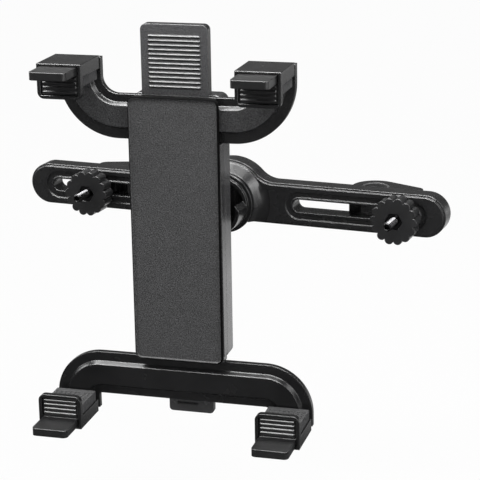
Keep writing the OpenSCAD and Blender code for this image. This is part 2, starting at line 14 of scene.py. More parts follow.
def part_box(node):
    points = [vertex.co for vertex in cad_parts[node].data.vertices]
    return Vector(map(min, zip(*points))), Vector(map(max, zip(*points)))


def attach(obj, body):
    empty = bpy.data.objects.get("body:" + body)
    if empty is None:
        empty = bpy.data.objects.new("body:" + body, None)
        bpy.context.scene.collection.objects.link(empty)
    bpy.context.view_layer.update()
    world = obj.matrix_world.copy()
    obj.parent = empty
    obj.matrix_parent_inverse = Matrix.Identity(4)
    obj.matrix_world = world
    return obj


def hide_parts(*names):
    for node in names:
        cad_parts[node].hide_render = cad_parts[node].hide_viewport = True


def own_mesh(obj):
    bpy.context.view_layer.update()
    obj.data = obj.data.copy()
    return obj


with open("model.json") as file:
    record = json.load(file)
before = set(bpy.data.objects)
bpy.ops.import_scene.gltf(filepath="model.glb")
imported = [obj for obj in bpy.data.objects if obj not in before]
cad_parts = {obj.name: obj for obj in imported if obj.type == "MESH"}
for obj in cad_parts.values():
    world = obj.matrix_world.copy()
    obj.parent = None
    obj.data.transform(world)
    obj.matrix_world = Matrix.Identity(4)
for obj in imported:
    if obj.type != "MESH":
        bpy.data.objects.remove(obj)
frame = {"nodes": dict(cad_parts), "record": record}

log = logging.getLogger("mount")
MM = 0.001
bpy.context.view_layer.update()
BODY_OF_NODE = {
    node: body for body, nodes in frame["record"]["behaviour"]["bodies"].items() for node in nodes
}

# Middle of the bar's front face at the hub, and the bar's turn about it, as in the part's source
HUB = Vector((9.2, 68.0, 0.0)) * MM
BAR_YAW = -6.2
BAR_PLACE = Matrix.Translation(HUB) @ Matrix.Rotation(math.radians(BAR_YAW), 4, "Z")

# A solid's loose triangles are joined within MERGE, and faces within FLAT_TURN degrees become one
MERGE = 0.004 * MM
FLAT_TURN = 0.8

# Part of its range that a noise's factor mostly fills
NOISE_SPAN = (0.3, 0.7)

Triple = tuple[float, float, float]
Span = tuple[float, float]
Socket = bpy.types.NodeSocket


class Slot(Enum):
    """Material slots of the record."""

    PLASTIC = "plastic"
    COVER = "cover"
    PAD = "pad"
    RUBBER = "rubber"
    METAL = "black_nickel"


class Ray(Enum):
    """Kinds of ray that meet the white of the studio, as Light Path names them."""

    CAMERA = "Is Camera Ray"
    GLOSSY = "Is Glossy Ray"
    TRANSMISSION = "Is Transmission Ray"


class Facing(Enum):
    """Side of a grip that meets the tablet."""

    UP = 1
    DOWN = -1


def mapped(tree: bpy.types.NodeTree, source: Socket, span: Span, values: Span) -> Socket:
    """Maps a span of a socket to a span of values.

    Args:
        tree: the node tree.
        source: the socket.
        span: its low and high.
        values: the values there.

    Returns:
        The mapped socket.
    """
    node = tree.nodes.new("ShaderNodeMapRange")
    node.inputs["From Min"].default_value, node.inputs["From Max"].default_value = span
    node.inputs["To Min"].default_value, node.inputs["To Max"].default_value = values
    tree.links.new(source, node.inputs["Value"])
    return node.outputs[0]


def grey(value: float, warm: float = 0.0) -> Triple:
    """A near neutral tint, as linear values."""
    return (value * (1.0 + warm), value, value * (1.04 - warm))


class NodeTree:
    """A small builder for one material's node tree."""

    def __init__(self, name: str) -> None:
        """Starts an empty material with a Principled surface.

        Args:
            name: name of the material.
        """
        self.material = bpy.data.materials.new(name)
        self.material.use_nodes = True
        self.tree = self.material.node_tree
        self.tree.nodes.clear()
        output = self.tree.nodes.new("ShaderNodeOutputMaterial")
        self.shader = self.tree.nodes.new("ShaderNodeBsdfPrincipled")
        self.tree.links.new(self.shader.outputs[0], output.inputs["Surface"])
        self.place = self.tree.nodes.new("ShaderNodeTexCoord").outputs["Object"]

    def link(self, source: Socket, target: Socket) -> None:
        """Joins two sockets."""
        self.tree.links.new(source, target)

    def noise(self, size: float, detail: float = 3.0, stretch: Vector | None = None) -> Socket:
        """Adds a noise on object coordinates.

        Args:
            size: size of a feature in metres.
            detail: number of octaves.
            stretch: scale along each axis before the noise, for brushed grain.

        Returns:
            The factor socket.
        """
        noise = self.tree.nodes.new("ShaderNodeTexNoise")
        noise.inputs["Scale"].default_value = 1.0 / size
        noise.inputs["Detail"].default_value = detail
        place = self.place
        if stretch is not None:
            mapping = self.tree.nodes.new("ShaderNodeMapping")
            mapping.inputs["Scale"].default_value = stretch
            self.link(place, mapping.inputs["Vector"])
            place = mapping.outputs[0]
        self.link(place, noise.inputs["Vector"])
        return noise.outputs[0]

    def cells(self, size: float) -> Socket:
        """Adds smooth cells, as in leather grain.

        Args:
            size: size of a cell in metres.

        Returns:
            The distance socket.
        """
        cells = self.tree.nodes.new("ShaderNodeTexVoronoi")
        cells.feature = "SMOOTH_F1"
        cells.inputs["Scale"].default_value = 1.0 / size
        self.link(self.place, cells.inputs["Vector"])
        return cells.outputs["Distance"]

    def haze(self, source: Socket, low: float, high: float) -> None:
        """Varies the roughness between two values."""
        self.link(mapped(self.tree, source, NOISE_SPAN, (low, high)), self.shader.inputs["Roughness"])

    def tint(self, source: Socket, dark: Triple, pale: Triple) -> None:
        """Varies the base colour between two tints.

        Args:
            source: factor socket of the pattern.
            dark: tint where the factor is low.
            pale: tint where the factor is high.
        """
        mix = self.tree.nodes.new("ShaderNodeMix")
        mix.data_type = "RGBA"
        mix.inputs["A"].default_value = (*dark, 1.0)
        mix.inputs["B"].default_value = (*pale, 1.0)
        self.link(mapped(self.tree, source, NOISE_SPAN, (0.0, 1.0)), mix.inputs["Factor"])
        self.link(mix.outputs["Result"], self.shader.inputs["Base Color"])

    def bump(self, heights: Iterable[tuple[Socket, float]], edge: float) -> None:
        """Rounds the edges and stacks bump layers on the surface.

        Args:
            heights: pairs of a height socket and its depth in metres.
            edge: radius of the rounded edges in metres.
        """
        rounded = self.tree.nodes.new("ShaderNodeBevel")
        rounded.samples = 8
        rounded.inputs["Radius"].default_value = edge
        normal = rounded.outputs[0]
        for socket, depth in heights:
            layer = self.tree.nodes.new("ShaderNodeBump")
            layer.inputs["Distance"].default_value = depth
            self.link(socket, layer.inputs["Height"])
            self.link(normal, layer.inputs["Normal"])
            normal = layer.outputs[0]
        self.link(normal, self.shader.inputs["Normal"])


@dataclass(frozen=True)
class Moulded:
    """Moulded plastic with spark-eroded grain."""

    name: str
    tone: float
    roughness: float
    grain: float = 0.35 * MM
    depth: float = 0.004 * MM
    gloss: float = 0.35
    edge: float = 0.95 * MM
    speck: float = 14 * MM
    spread: float = 0.1
    cloud: float = 9 * MM
    haze: float = 0.025

    def material(self) -> bpy.types.Material:
        """Builds the material.

        Returns:
            The new material.
        """
        tree = NodeTree(self.name)
        dark, pale = self.tone * (1.0 - self.spread), self.tone * (1.0 + self.spread)
        tree.tint(tree.noise(self.speck, detail=4.0), grey(dark), grey(pale))
        tree.haze(tree.noise(self.cloud, detail=2.0), self.roughness - self.haze, self.roughness + self.haze)
        tree.shader.inputs["Specular IOR Level"].default_value = self.gloss
        tree.bump([(tree.noise(self.grain, detail=2.0), self.depth)], self.edge)
        return tree.material


@dataclass(frozen=True)
class Leathered:
    """Soft pad skin with an orange-peel grain of fine cells."""

    name: str
    tone: float
    roughness: float = 0.62
    cell: float = 0.75 * MM
    depth: float = 0.1 * MM
    fine: float = 0.4 * MM
    fine_depth: float = 0.02 * MM
    gloss: float = 0.4
    edge: float = 0.8 * MM
    speck: float = 0.58 * MM
    spread: float = 0.5
    cloud: float = 2.5 * MM
    haze: float = 0.06

    def material(self) -> bpy.types.Material:
        """Builds the material.

        Returns:
            The new material.
        """
        tree = NodeTree(self.name)
        dark, pale = self.tone * (1.0 - self.spread), self.tone * (1.0 + self.spread)
        tree.tint(tree.noise(self.speck, detail=2.0), grey(dark), grey(pale))
        tree.haze(tree.noise(self.cloud), self.roughness - self.haze, self.roughness + self.haze)
        tree.shader.inputs["Specular IOR Level"].default_value = self.gloss
        pores = (tree.noise(self.fine, detail=2.0), self.fine_depth)
        tree.bump([(tree.cells(self.cell), self.depth), pores], self.edge)
        return tree.material


@dataclass(frozen=True)
class Rubber:
    """Matt grip rubber with a rough cast surface."""

    name: str
    tone: float
    roughness: float = 0.82
    cell: float = 0.7 * MM
    depth: float = 0.06 * MM
    pit: float = 0.5 * MM
    pit_depth: float = 0.05 * MM
    gloss: float = 0.3
    edge: float = 0.5 * MM
    speck: float = 2.2 * MM
    spread: float = 0.3
    cloud: float = 1.5 * MM
    haze: float = 0.08

    def material(self) -> bpy.types.Material:
        """Builds the material.

        Returns:
            The new material.
        """
        tree = NodeTree(self.name)
        dark, pale = self.tone * (1.0 - self.spread), self.tone * (1.0 + self.spread)
        tree.tint(tree.noise(self.speck, detail=6.0), grey(dark), grey(pale))
        tree.haze(tree.noise(self.cloud), self.roughness - self.haze, self.roughness + self.haze)
        tree.shader.inputs["Specular IOR Level"].default_value = self.gloss
        pits = (tree.noise(self.pit), self.pit_depth)
        tree.bump([(tree.cells(self.cell), self.depth), pits], self.edge)
        return tree.material


@dataclass(frozen=True)
class Plated:
    """Black-nickel plating with faint turned grain."""

    name: str
    tone: float
    roughness: float = 0.2
    speck: float = 3 * MM
    shades: Span = (0.85, 1.1)
    warm: float = 0.02
    grain: float = 1.2 * MM
    turned: Triple = (1.0, 6.0, 1.0)
    depth: float = 0.004 * MM
    smoother: float = 0.06
    rougher: float = 0.1
    edge: float = 0.25 * MM

    def material(self) -> bpy.types.Material:
        """Builds the material.

        Returns:
            The new material.
        """
        tree = NodeTree(self.name)
        dark, pale = (self.tone * shade for shade in self.shades)
        tree.tint(tree.noise(self.speck, detail=4.0), grey(dark), grey(pale, self.warm))
        grain = tree.noise(self.grain, stretch=Vector(self.turned))
        tree.haze(grain, self.roughness - self.smoother, self.roughness + self.rougher)
        tree.shader.inputs["Metallic"].default_value = 1.0
        tree.bump([(grain, self.depth)], self.edge)
        return tree.material


Finish = Moulded | Leathered | Rubber | Plated


SATIN = Moulded("satin_black", 0.02, 0.27, gloss=0.5)
YOKE = Moulded("yoke_black", 0.014, 0.25, gloss=0.6)
COARSE = Moulded(
    "coarse_band", 0.037, 0.42, grain=0.8 * MM, depth=0.25 * MM, gloss=0.5, speck=0.55 * MM, spread=0.9
)
BLADE = Moulded(
    "tongue_grain", 0.085, 0.42, grain=0.8 * MM, depth=0.12 * MM, gloss=0.4, speck=0.55 * MM, spread=0.8
)
# A darker copy of the bar's satin finish: painted shade on the hollow corner round the boss
FLARE_SHADED = Moulded("flare_satin_painted_shade", 0.014, 0.25, gloss=0.38, edge=0.0)
TAB = Moulded("tab_black", 0.015, 0.34, gloss=0.5, edge=0.75 * MM)
KNOB = Moulded("knob_satin", 0.023, 0.3, gloss=0.55, edge=0.5 * MM)
GLOSSY = Moulded("cover_gloss", 0.03, 0.26, depth=0.006 * MM, gloss=0.8)
SHELL = Moulded("housing_satin", 0.052, 0.26, gloss=0.95)
PAD_SKIN = Leathered("pad_skin", 0.045, spread=0.95)
LOWER = Moulded("lower_black", 0.014, 0.25, gloss=0.4)
# Near black: painted shade on the pad's sides and sunk rim, where the gap round the pad lies in shadow
PAD_RIM_SHADE = Moulded("pad_rim_painted_shade", 0.002, 0.8, gloss=0.05)
GRIP = Rubber("grip_rubber", 0.05)
LINER = Rubber("liner_rubber", 0.03)
PLATE = Plated("black_nickel_plate", 0.05, 0.16)


class Finishes:
    """Makes each finish once and hands it out."""

    _made: ClassVar[dict[str, bpy.types.Material]] = {}

    @classmethod
    def get(cls, finish: Finish) -> bpy.types.Material:
        """Makes a finish's material the first time it is asked for.

        Args:
            finish: the finish.

        Returns:
            Its material.
        """
        if finish.name not in cls._made:
            cls._made[finish.name] = finish.material()
        return cls._made[finish.name]


def merged_copy(node: str) -> bmesh.types.BMesh:
    """Copies a CAD node's mesh, joins its loose triangles and clears its flat faces.

    Args:
        node: name of the CAD node.

    Returns:
        The mesh work, in metres in the shared frame.
    """
    bm = bmesh.new()
    bm.from_mesh(frame["nodes"][node].data)
    bmesh.ops.remove_doubles(bm, verts=bm.verts, dist=MERGE)
    bmesh.ops.dissolve_limit(
        bm, angle_limit=math.radians(FLAT_TURN), use_dissolve_boundaries=False, verts=bm.verts, edges=bm.edges
    )
    return bm


def soften(bm: bmesh.types.BMesh, width: float, turn: float = 32.0, segments: int = 3) -> None:
    """Rounds the sharp edges of a mesh.

    Args:
        bm: the mesh work.
        width: width of the rounding in metres.
        turn: smallest angle in degrees that counts as sharp.
        segments: number of faces across the rounding.
    """
    sharp = [e for e in bm.edges if len(e.link_faces) == 2 and e.calc_face_angle(0.0) > math.radians(turn)]
    bmesh.ops.bevel(
        bm, geom=sharp, offset=width, offset_type="OFFSET", segments=segments, profile=0.5,
        affect="EDGES", clamp_overlap=True, material=-1,
    )


def add_piece(
    name: str, bm: bmesh.types.BMesh, node: str, finishes: list[Finish], sharp: float = 42.0,
    stands_for: bool = True,
) -> bpy.types.Object:
    """Turns mesh work into a piece that rides on a CAD node's body.

    Args:
        name: name of the piece.
        bm: the mesh work, freed here.
        node: CAD node that the piece replaces or is moulded on.
        finishes: finishes of the mesh's material indexes.
        sharp: angle in degrees above which an edge stays sharp.
        stands_for: whether the piece replaces the node.

    Returns:
        The new object.
    """
    mesh = bpy.data.meshes.new(name)
    bm.to_mesh(mesh)
    bm.free()
    mesh.polygons.foreach_set("use_smooth", [True] * len(mesh.polygons))
    mesh.set_sharp_from_angle(angle=math.radians(sharp))
    for finish in finishes:
        mesh.materials.append(Finishes.get(finish))
    piece = bpy.data.objects.new(name, mesh)
    bpy.context.scene.collection.objects.link(piece)
    weighted = piece.modifiers.new("even_shading", "WEIGHTED_NORMAL")
    weighted.keep_sharp = True
    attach(piece, BODY_OF_NODE[node])
    if stands_for:
        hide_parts(node)
    log.info("%s: %d faces for %s", name, len(mesh.polygons), node)
    return piece


def dress_node(node: str, finish: Finish) -> None:
    """Gives a CAD node that stays its finish.

    Args:
        node: CAD node.
        finish: its finish.
    """
    mesh = frame["nodes"][node].data
    mesh.materials.clear()
    mesh.materials.append(Finishes.get(finish))
    log.info("%s keeps its solid, in %s", node, finish.name)


def softened_piece(
    node: str, width: float, finish: Finish, others: tuple[Finish, ...] = (),
    picks: Callable[[bmesh.types.BMFace], int] | None = None,
) -> bpy.types.Object:
    """Replaces a CAD node with its own shape, its edges rounded.

    Args:
        node: CAD node.
        width: width of the rounding in metres.
        finish: finish of the whole piece.
        others: further finishes, for the faces that picks chooses.
        picks: gives a face's finish, 0 for the piece's own.

    Returns:
        The new object.
    """
    bm = merged_copy(node)
    if picks is not None:
        for face in bm.faces:
            face.material_index = picks(face)
    soften(bm, width)
    return add_piece(f"{node}_moulded", bm, node, [finish, *others])


@dataclass(frozen=True)
class Lamp:
    """A soft rectangular lamp that faces the object. A softbox shows in reflections only."""

    name: str
    place: Triple
    size: Span
    watts: float
    softbox: bool = False

    def build(self) -> None:
        """Adds the lamp."""
        data = bpy.data.lights.new(self.name, "AREA")
        data.shape = "RECTANGLE"
        data.size, data.size_y = self.size
        data.energy = self.watts
        lamp = bpy.data.objects.new(self.name, data)
        bpy.context.scene.collection.objects.link(lamp)
        lamp.location = self.place
        lamp.visible_diffuse = not self.softbox
        lamp.rotation_euler = (-Vector(self.place)).to_track_quat("-Z", "Y").to_euler()


@dataclass(frozen=True)
class Fade:
    """A strength that changes along one axis of a coordinate."""

    axis: str
    span: Span
    values: Span

    def add(self, tree: bpy.types.NodeTree, parts: bpy.types.ShaderNodeSeparateXYZ) -> Socket:
        """Adds the fade to a node tree.

        Args:
            tree: the node tree.
            parts: the coordinate, split into its axes.

        Returns:
            The strength's socket.
        """
        return mapped(tree, parts.outputs[self.axis], self.span, self.values)


LAMPS = (
    Lamp("top_lamp", (0.05, -0.3, 1.05), (0.8, 0.5), 5.0),
    Lamp("right_lamp", (0.95, -0.5, 0.3), (0.5, 0.8), 5.0),
    Lamp("left_lamp", (-0.9, -0.7, 0.5), (0.5, 0.7), 2.5),
    Lamp("top_softbox", (-0.1, 0.36, 0.95), (1.3, 0.48), 34.0, softbox=True),
    Lamp("edge_strip", (-0.15, -0.5, 0.9), (1.4, 0.45), 65.0, softbox=True),
    Lamp("right_softbox", (0.85, -0.25, 0.6), (0.6, 0.4), 4.0, softbox=True),
    Lamp("left_softbox", (-0.9, 0.1, 0.4), (0.5, 0.4), 7.0, softbox=True),
)


@dataclass
class Photographer:
    """Camera, lamps, floor and world.

    The fades near, distant, farthest and aside give how white the floor is to a glossy ray, and room and
    height the same for the world.
    """

    place: Triple = (0.263475, -0.814224, 0.248928)
    up: Triple = (-0.0618, 0.2777, 0.9587)
    ahead: Triple = (-0.2597, 0.9229, -0.2840)
    lens: float = 130.72
    sensor: float = 36.0
    nearest: float = 0.02
    floor_z: float = -0.16
    floor_r: float = 4.0
    floor_grey: float = 0.9
    floor_roughness: float = 0.9
    floor_gloss: float = 0.1
    floor_white: float = 0.96
    near: Fade = Fade("Y", (0.12, 0.27), (0.12, 1.0))
    distant: Fade = Fade("Y", (0.46, 0.51), (1.0, 0.5))
    farthest: Fade = Fade("Y", (0.67, 0.79), (1.0, 0.25))
    aside: Fade = Fade("X", (0.39, 0.52), (0.0, 1.0))
    ambient: float = 0.3
    room: Fade = Fade("Y", (-0.5, 0.6), (0.1, 1.0))
    height: Fade = Fade("Z", (-0.12, 0.08), (1.0, 0.12))

    def camera(self) -> None:
        """Sets the camera at the photograph's place."""
        data = bpy.data.cameras.new("camera")
        data.lens = self.lens
        data.sensor_width = self.sensor
        data.clip_start = self.nearest
        cam = bpy.data.objects.new("camera", data)
        bpy.context.scene.collection.objects.link(cam)
        back = -Vector(self.ahead).normalized()
        up = Vector(self.up) - back * Vector(self.up).dot(back)
        up.normalize()
        right = up.cross(back)
        turn = Matrix((right, up, back)).transposed().to_4x4()
        cam.matrix_world = Matrix.Translation(self.place) @ turn
        bpy.context.scene.camera = cam

    def white_for_rays(
        self, tree: bpy.types.NodeTree, shaded: Socket, kinds: tuple[Ray, ...], share: float = 1.0,
        level: Socket | None = None, floor: bool = False,
    ) -> Socket:
        """Mixes plain white into a shader for the rays that see it directly.

        Args:
            tree: the node tree.
            shaded: shader socket for all other rays.
            kinds: kinds of ray.
            share: share of white for those rays.
            level: strength socket of the white, plain 1 if left out.
            floor: whether the tree is the floor's.

        Returns:
            The mixed shader socket.
        """
        rays = tree.nodes.new("ShaderNodeLightPath")
        total = rays.outputs[kinds[0].value]
        for kind in kinds[1:]:
            total = self.combined(tree, "MAXIMUM", total, rays.outputs[kind.value])
        scaled = tree.nodes.new("ShaderNodeMath")
        scaled.operation = "MULTIPLY"
        scaled.inputs[1].default_value = share
        tree.links.new(total, scaled.inputs[0])
        white = tree.nodes.new("ShaderNodeEmission" if floor else "ShaderNodeBackground")
        white.inputs["Color"].default_value = (1.0, 1.0, 1.0, 1.0)
        if level is not None:
            tree.links.new(level, white.inputs["Strength"])
        mix = tree.nodes.new("ShaderNodeMixShader")
        tree.links.new(scaled.outputs[0], mix.inputs[0])
        tree.links.new(shaded, mix.inputs[1])
        tree.links.new(white.outputs[0], mix.inputs[2])
        return mix.outputs[0]

    def world(self) -> None:
        """Pale ambient light, white where it is seen directly."""
        world = bpy.data.worlds.new("studio")
        bpy.context.scene.world = world
        world.use_nodes = True
        tree = world.node_tree
        shade = tree.nodes["Background"]
        shade.inputs["Color"].default_value = (1.0, 1.0, 1.0, 1.0)
        shade.inputs["Strength"].default_value = self.ambient
        white = self.white_for_rays(tree, shade.outputs[0], (Ray.CAMERA, Ray.TRANSMISSION))
        white = self.white_for_rays(tree, white, (Ray.GLOSSY,), level=self.backdrop_level(tree))
        tree.links.new(white, tree.nodes["World Output"].inputs["Surface"])

    def backdrop_level(self, tree: bpy.types.NodeTree) -> Socket:
        """Gives what a glossy ray meets: white low at the backdrop, dim above it and in the room in front.

        Args:
            tree: the world's node tree.

        Returns:
            The strength's socket.
        """
        parts = self.axes(tree, "Generated")
        return self.combined(tree, "MULTIPLY", self.room.add(tree, parts), self.height.add(tree, parts))

    def floor(self) -> None:
        """A pale floor that keeps the object's shadow."""
        bm = bmesh.new()
        bmesh.ops.create_circle(bm, cap_ends=True, segments=96, radius=self.floor_r)
        bmesh.ops.translate(bm, vec=(0.0, 0.0, self.floor_z), verts=bm.verts)
        mesh = bpy.data.meshes.new("floor")
        bm.to_mesh(mesh)
        bm.free()
        material = bpy.data.materials.new("floor_white")
        material.use_nodes = True
        tree = material.node_tree
        shader = tree.nodes["Principled BSDF"]
        shader.inputs["Base Color"].default_value = (self.floor_grey, self.floor_grey, self.floor_grey, 1.0)
        shader.inputs["Roughness"].default_value = self.floor_roughness
        shader.inputs["Specular IOR Level"].default_value = self.floor_gloss
        parts = self.axes(tree, "Object")
        fades = (self.near, self.distant, self.farthest, self.aside)
        near, distant, farthest, aside = (fade.add(tree, parts) for fade in fades)
        behind = self.combined(tree, "MULTIPLY", near, self.combined(tree, "MULTIPLY", distant, farthest))
        seen = self.combined(tree, "MAXIMUM", behind, aside)
        shaded = self.white_for_rays(tree, shader.outputs[0], (Ray.GLOSSY,), level=seen, floor=True)
        white = self.white_for_rays(tree, shaded, (Ray.CAMERA,), self.floor_white, floor=True)
        tree.links.new(white, tree.nodes["Material Output"].inputs["Surface"])
        mesh.materials.append(material)
        floor = bpy.data.objects.new("floor", mesh)
        bpy.context.scene.collection.objects.link(floor)

    def combined(self, tree: bpy.types.NodeTree, operation: str, one: Socket, two: Socket) -> Socket:
        """Combines two sockets with a math operation.

        Args:
            tree: the node tree.
            operation: name of the math operation.
            one: first socket.
            two: second socket.

        Returns:
            The result's socket.
        """
        node = tree.nodes.new("ShaderNodeMath")
        node.operation = operation
        tree.links.new(one, node.inputs[0])
        tree.links.new(two, node.inputs[1])
        return node.outputs[0]

    def axes(self, tree: bpy.types.NodeTree, output: str) -> bpy.types.ShaderNodeSeparateXYZ:
        """Splits a coordinate into its axes.

        Args:
            tree: the node tree.
            output: name of the Texture Coordinate output.

        Returns:
            The node with an output for each axis.
        """
        way = tree.nodes.new("ShaderNodeTexCoord")
        parts = tree.nodes.new("ShaderNodeSeparateXYZ")
        tree.links.new(way.outputs[output], parts.inputs[0])
        return parts

    def build(self) -> None:
        """Sets up the whole studio."""
        self.camera()
        self.world()
        self.floor()
        for lamp in LAMPS:
            lamp.build()
        bpy.context.scene.view_settings.view_transform = "Standard"


@dataclass
class Spine:
    """Pad, front cover and rear housing of the holder."""

    edge: float = 0.5 * MM
    rim_width: float = 0.8 * MM
    rim_depth: float = 1.1 * MM
    skirt: float = 0.02 * MM
    pad_edge: float = 0.45 * MM

    def pad(self) -> None:
        """Sinks a rim round the pad and rounds the skin's edge. The rim and the pad's sides take a near-black
        finish, painted shade for the gap round the pad.
        """
        bm = merged_copy("pad")
        # Every face but the skin takes the near-black finish: painted shade on the pad's sides and rim
        for face in bm.faces:
            face.material_index = 1
        front = min(bm.faces, key=lambda f: f.calc_center_median().y)
        rim = bmesh.ops.inset_region(bm, faces=[front], thickness=self.rim_width)["faces"]
        front.material_index = 0
        inner = set(front.verts)
        lowered = {v for f in rim for v in f.verts} - inner
        for face in bmesh.ops.inset_region(bm, faces=[front], thickness=self.skirt)["faces"]:
            face.material_index = 0
        bmesh.ops.translate(bm, vec=(0, self.rim_depth, 0), verts=list(lowered | inner))
        bmesh.ops.bevel(
            bm, geom=list(front.edges), offset=self.pad_edge, offset_type="OFFSET", segments=4,
            profile=0.5, affect="EDGES", clamp_overlap=True, material=0,
        )
        add_piece("pad_skinned", bm, "pad", [PAD_SKIN, PAD_RIM_SHADE])

    def build(self) -> None:
        """Builds and dresses the spine."""
        self.pad()
        softened_piece("front_cover", self.edge, GLOSSY)
        softened_piece("rear_housing", self.edge, SHELL)
        dress_node("housing_screws", PLATE)
        softened_piece("release_slider", self.edge, SHELL)


@dataclass
class ReturnSpring:
    """Coil spring of the release slider. Its lower end, at centre, rides with the slider."""

    centre: Triple = (0.0, 22.5 * MM, -40.0 * MM)
    radius: float = 1.85 * MM
    wire: float = 0.35 * MM
    length: float = 12.0 * MM
    travel: float = 4.0 * MM
    turns: int = 7
    steps: int = 24
    sides: int = 8

    def build(self) -> None:
        """Winds the spring with a spin that climbs."""
        bm = bmesh.new()
        turn = Matrix.Translation((self.radius, 0, self.wire)) @ Matrix.Rotation(math.pi / 2, 4, "X")
        ring = bmesh.ops.create_circle(bm, segments=self.sides, radius=self.wire, matrix=turn)
        edges = list({e for v in ring["verts"] for e in v.link_edges})
        climb = (self.length - 2 * self.wire) / (self.turns * self.steps)
        bmesh.ops.spin(
            bm, geom=ring["verts"] + edges, cent=(0, 0, 0), axis=(0, 0, 1), dvec=(0, 0, climb),
            angle=2 * math.pi * self.turns, steps=self.turns * self.steps, use_duplicate=False,
        )
        bmesh.ops.holes_fill(bm, edges=[e for e in bm.edges if e.is_boundary], sides=self.sides)
        bmesh.ops.recalc_face_normals(bm, faces=bm.faces)
        bmesh.ops.translate(bm, vec=self.centre, verts=bm.verts)
        coil = add_piece("return_spring_coil", bm, "release_spring", [PLATE])
        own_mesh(coil)


@dataclass
class Yokes:
    """The two sliding yokes with their claws, grips and pull-out tabs.

    raised_y and blade_y are the depths of the band's raised middle and of the tongue's face, and a face
    within reach of one, whose normal points forward, belongs to it.
    """

    edge: float = 0.4 * MM
    tab_edge: float = 0.7 * MM
    grip_edge: float = 0.35 * MM
    raised_y: float = 3.7 * MM
    blade_y: float = 6.1 * MM
    reach: float = 0.03 * MM
    forward: float = 0.99
    nub_r: float = 0.85 * MM
    nub_h: float = 0.65 * MM
    nub_taper: float = 0.6
    nubs: int = 8
    nub_margin: float = 1.8 * MM
    nub_rows: int = 7
    first_row: float = 1.1 * MM
    row_pitch: float = 2.6 * MM

    def upper_finish(self, face: bmesh.types.BMFace) -> int:
        """Gives the coarse grain to the band's raised middle and the fine one to the tongue.

        Args:
            face: a face of the upper yoke.

        Returns:
            The index of its finish.
        """
        place = face.calc_center_median()
        if face.normal.y > -self.forward:
            return 0
        if abs(place.y - self.raised_y) < self.reach:
            return 1
        on_blade = abs(place.y - self.blade_y) < self.reach and place.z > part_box("pad")[1][2]
        return 2 if on_blade and abs(place.x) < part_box("pad")[1][0] else 0

    def build(self) -> None:
        """Builds both yokes and the four claws."""
        softened_piece("upper_yoke", self.edge, YOKE, (COARSE, BLADE), self.upper_finish)
        softened_piece("lower_yoke", self.edge, LOWER)
        for level, facing in (("upper", Facing.DOWN), ("lower", Facing.UP)):
            for side in ("left", "right"):
                self.grip(f"{level}_grip_{side}", facing)
                softened_piece(f"{level}_tab_{side}", self.tab_edge, TAB)

    def grip(self, node: str, facing: Facing) -> None:
        """Builds a rubber grip with rows of small nubs on the side that meets the tablet.

        Args:
            node: CAD node of the grip.
            facing: side of the grip that meets the tablet.
        """
        bm = merged_copy(node)
        soften(bm, self.grip_edge)
        low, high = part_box(node)
        face_z = high[2] if facing is Facing.UP else low[2]
        turn = Matrix.Rotation(0.0 if facing is Facing.UP else math.pi, 4, "X")
        half_span = (high[0] - low[0]) / 2 - self.nub_margin
        for row in range(self.nub_rows):
            y = low[1] + self.first_row + row * self.row_pitch
            for i in range(self.nubs):
                x = (low[0] + high[0]) / 2 + half_span * (2 * i / (self.nubs - 1) - 1)
                bmesh.ops.create_cone(
                    bm, cap_ends=True, segments=8, radius1=self.nub_r, radius2=self.nub_r * self.nub_taper,
                    depth=2 * self.nub_h, matrix=Matrix.Translation((x, y, face_z)) @ turn,
                )
        add_piece(f"{node}_nubbed", bm, node, [GRIP])


